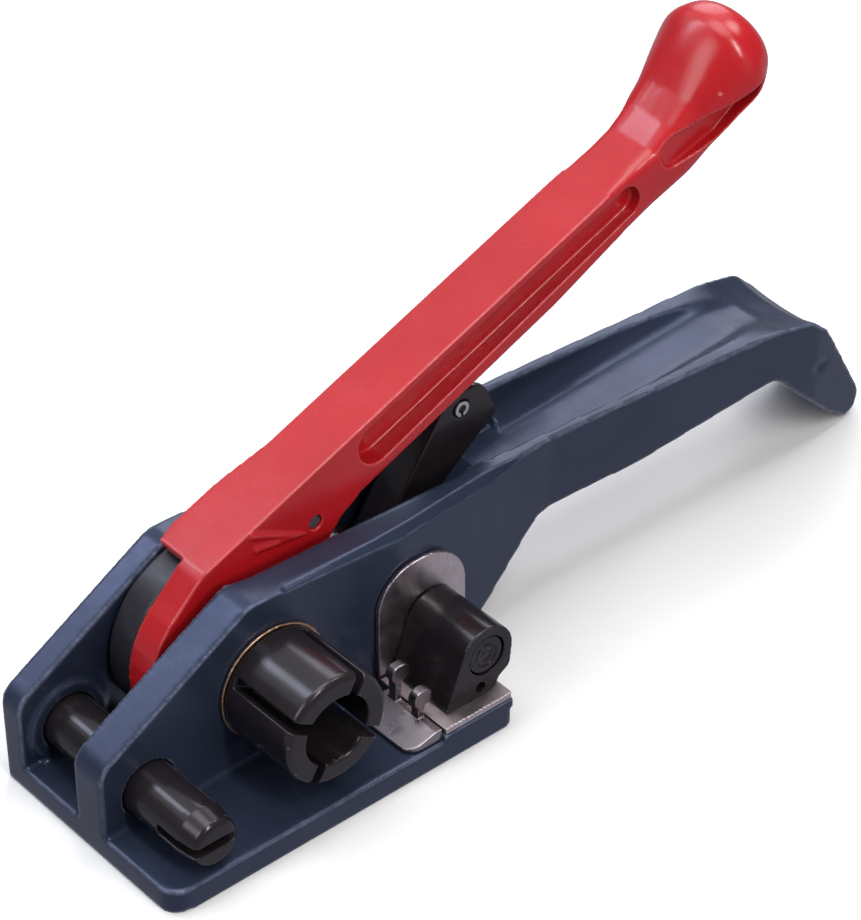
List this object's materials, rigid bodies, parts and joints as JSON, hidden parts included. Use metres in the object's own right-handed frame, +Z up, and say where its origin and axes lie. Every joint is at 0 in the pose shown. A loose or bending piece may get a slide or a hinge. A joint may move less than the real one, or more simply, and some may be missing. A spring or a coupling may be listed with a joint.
{
  "type": "strapping tensioner",
  "caption": "Hand strapping tensioner with a cast body and fixed handle, a ratcheting lever handle, a slotted windlass and a sprung strap gripper.",
  "frame": {"origin": "on the underside of the base, directly below the windlass axis, in the plane of the strap-side cheek's outer face", "axes": "+X to the rear along the fixed handle, +Y away from the strap side towards the far cheek, +Z up"},
  "size_m": [0.2974, 0.0802, 0.1578],
  "materials": {
    "body_paint": "semi-gloss navy stove enamel on an aluminium casting",
    "lever_paint": "glossy red enamel on an aluminium casting",
    "black_steel": "oiled black oxide",
    "grey_steel": "hardened dark grey",
    "bright_steel": "worn hardened spring steel",
    "zinc_steel": "zinc plated",
    "spring_steel": "bright drawn spring steel",
    "bronze": "sintered bronze"
  },
  "bodies": {
    "body": {"body_casting": "body_paint", "front_guide_pin": "black_steel", "guide_pin_bolt": "zinc_steel", "guide_pin_washer": "zinc_steel", "windlass_near_bush": "bronze", "windlass_far_bush": "bronze", "near_thrust_washer": "zinc_steel", "holding_pawl_pin": "grey_steel", "holding_pawl_near_spacer": "zinc_steel", "holding_pawl_far_spacer": "zinc_steel", "gripper_near_bush": "bronze", "gripper_far_bush": "bronze", "gripper_side_plate": "bright_steel", "gripper_seat": "bright_steel", "strap_guide": "bright_steel", "seat_screw_front": "zinc_steel", "seat_screw_rear": "zinc_steel", "gripper_return_spring": "spring_steel"},
    "windlass": {"windlass_spindle": "black_steel", "ratchet_wheel": "grey_steel", "windlass_flange": "grey_steel", "ratchet_key": "grey_steel", "windlass_snap_ring": "spring_steel"},
    "lever": {"lever_handle": "lever_paint", "drive_pawl_pin": "grey_steel", "drive_pawl_spacer": "zinc_steel"},
    "drive_pawl": {"drive_pawl": "grey_steel"},
    "holding_pawl": {"holding_pawl": "grey_steel"},
    "gripper": {"gripper_shaft": "black_steel", "gripper_cam": "black_steel", "gripper_cross_pin": "spring_steel", "gripper_snap_ring": "spring_steel", "release_lever": "black_steel", "lever_cross_pin": "spring_steel", "release_roller_pin": "spring_steel"},
    "roller": {"release_roller": "grey_steel"}
  },
  "joints": [
    {"name": "windlass_turn", "type": "hinge", "parent": "body", "child": "windlass", "pos_m": [0, 0, 0.0316], "axis": [0, 1, 0], "continuous": true},
    {"name": "lever_swing", "type": "hinge", "parent": "body", "child": "lever", "pos_m": [0, 0.0195, 0.0316], "axis": [0, -1, 0], "range_deg": [0, 90]},
    {"name": "drive_pawl_tilt", "type": "hinge", "parent": "lever", "child": "drive_pawl", "pos_m": [0.02838, 0.0219, 0.06101], "axis": [0, 1, 0], "range_deg": [0, 7.4]},
    {"name": "holding_pawl_tilt", "type": "hinge", "parent": "body", "child": "holding_pawl", "pos_m": [0.0415, 0.0219, 0.0395], "axis": [0, 1, 0], "range_deg": [0, 8.6]},
    {"name": "gripper_open", "type": "hinge", "parent": "body", "child": "gripper", "pos_m": [0.0555, 0.024, 0.0243], "axis": [0, 1, 0], "range_deg": [0, 12], "stiffness_Nm_per_rad": 1.2, "springref_deg": -11.46, "deforming": ["gripper_return_spring"]},
    {"name": "roller_turn", "type": "hinge", "parent": "gripper", "child": "roller", "pos_m": [0.0838, 0.0244, 0.0704], "axis": [0, 1, 0], "continuous": true}
  ]
}
